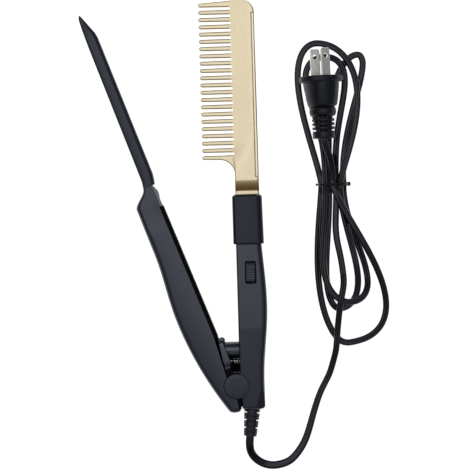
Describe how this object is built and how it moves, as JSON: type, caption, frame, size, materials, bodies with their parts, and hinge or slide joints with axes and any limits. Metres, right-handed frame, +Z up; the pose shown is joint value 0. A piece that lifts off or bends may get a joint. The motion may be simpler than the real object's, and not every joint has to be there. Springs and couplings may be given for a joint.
{
  "type": "electric hot comb",
  "caption": "Electric hot comb with a hinged press arm, rocker switch, spring return, ribbed gland and a flat cord tied in a hank with a two-blade plug.",
  "frame": {"origin": "on the pivot axis of the press arm, at the plane that the comb rests on", "axes": "+Y along the comb from the pivot to the tip, +X from the teeth to the comb's back, +Z up out of the side with the rocker"},
  "size_m": [0.1946, 0.3015, 0.0315],
  "materials": {
    "handle_shell": "moulded, semi-gloss",
    "arm_shell": "moulded, semi-gloss",
    "collar_resin": "heat-resistant, semi-gloss",
    "comb_metal": "gold-coloured plating, satin",
    "strip_metal": "polished",
    "ceramic": "sintered, matte",
    "red_wire": "insulated wire",
    "blue_wire": "insulated wire",
    "board": "laminate",
    "inner_plastic": "moulded, matte",
    "rocker": "moulded, semi-gloss, grooved",
    "gland_rubber": "moulded, matte",
    "steel": "turned",
    "spring_steel": "bright wire",
    "cap": "moulded, semi-gloss",
    "post": "moulded, satin",
    "liner": "moulded, satin",
    "blade_coat": "black non-stick coating, satin",
    "tang_metal": "bare, satin",
    "cord_jacket": "extruded, satin",
    "tie": "plastic-covered wire",
    "plug_jacket": "moulded, satin",
    "prong_brass": "nickel-washed, satin"
  },
  "bodies": {
    "handle": {"handle_bottom": "handle_shell", "handle_top": "handle_shell", "heat_collar": "collar_resin", "comb_head": "comb_metal", "spine_strip": "strip_metal", "heater_core": "ceramic", "heater_leads": "red_wire", "circuit_board": "board", "thermal_fuse": "ceramic", "switch_body": "inner_plastic", "supply_leads": "blue_wire", "cord_grip": "inner_plastic", "cord_gland": "gland_rubber", "pivot_pin": "steel", "pivot_cap_top": "cap", "pivot_cap_bottom": "cap", "guide_post": "post", "return_spring": "spring_steel", "handle_screws": "steel", "cord_lead": "cord_jacket", "cord_hank": "cord_jacket", "cord_tail": "cord_jacket", "cord_tie": "tie", "plug_body": "plug_jacket", "plug_blades": "prong_brass"},
    "arm": {"arm_bottom": "arm_shell", "arm_top": "arm_shell", "arm_liner": "liner", "press_blade": "blade_coat", "blade_tang": "tang_metal", "guide_collar": "post", "arm_screws": "steel"},
    "rocker": {"switch_rocker": "rocker"}
  },
  "joints": [
    {"name": "arm_hinge", "type": "hinge", "parent": "handle", "child": "arm", "pos_m": [0, 0, 0.011], "axis": [0, 0, 1], "range_deg": [-20.3, 0], "stiffness_Nm_per_rad": 0.12, "springref_deg": 14.32, "deforming": ["return_spring"]},
    {"name": "rocker_tilt", "type": "hinge", "parent": "handle", "child": "rocker", "pos_m": [0.011, 0.0722, 0.0182], "axis": [1, 0, 0], "range_deg": [-10, 0]}
  ]
}
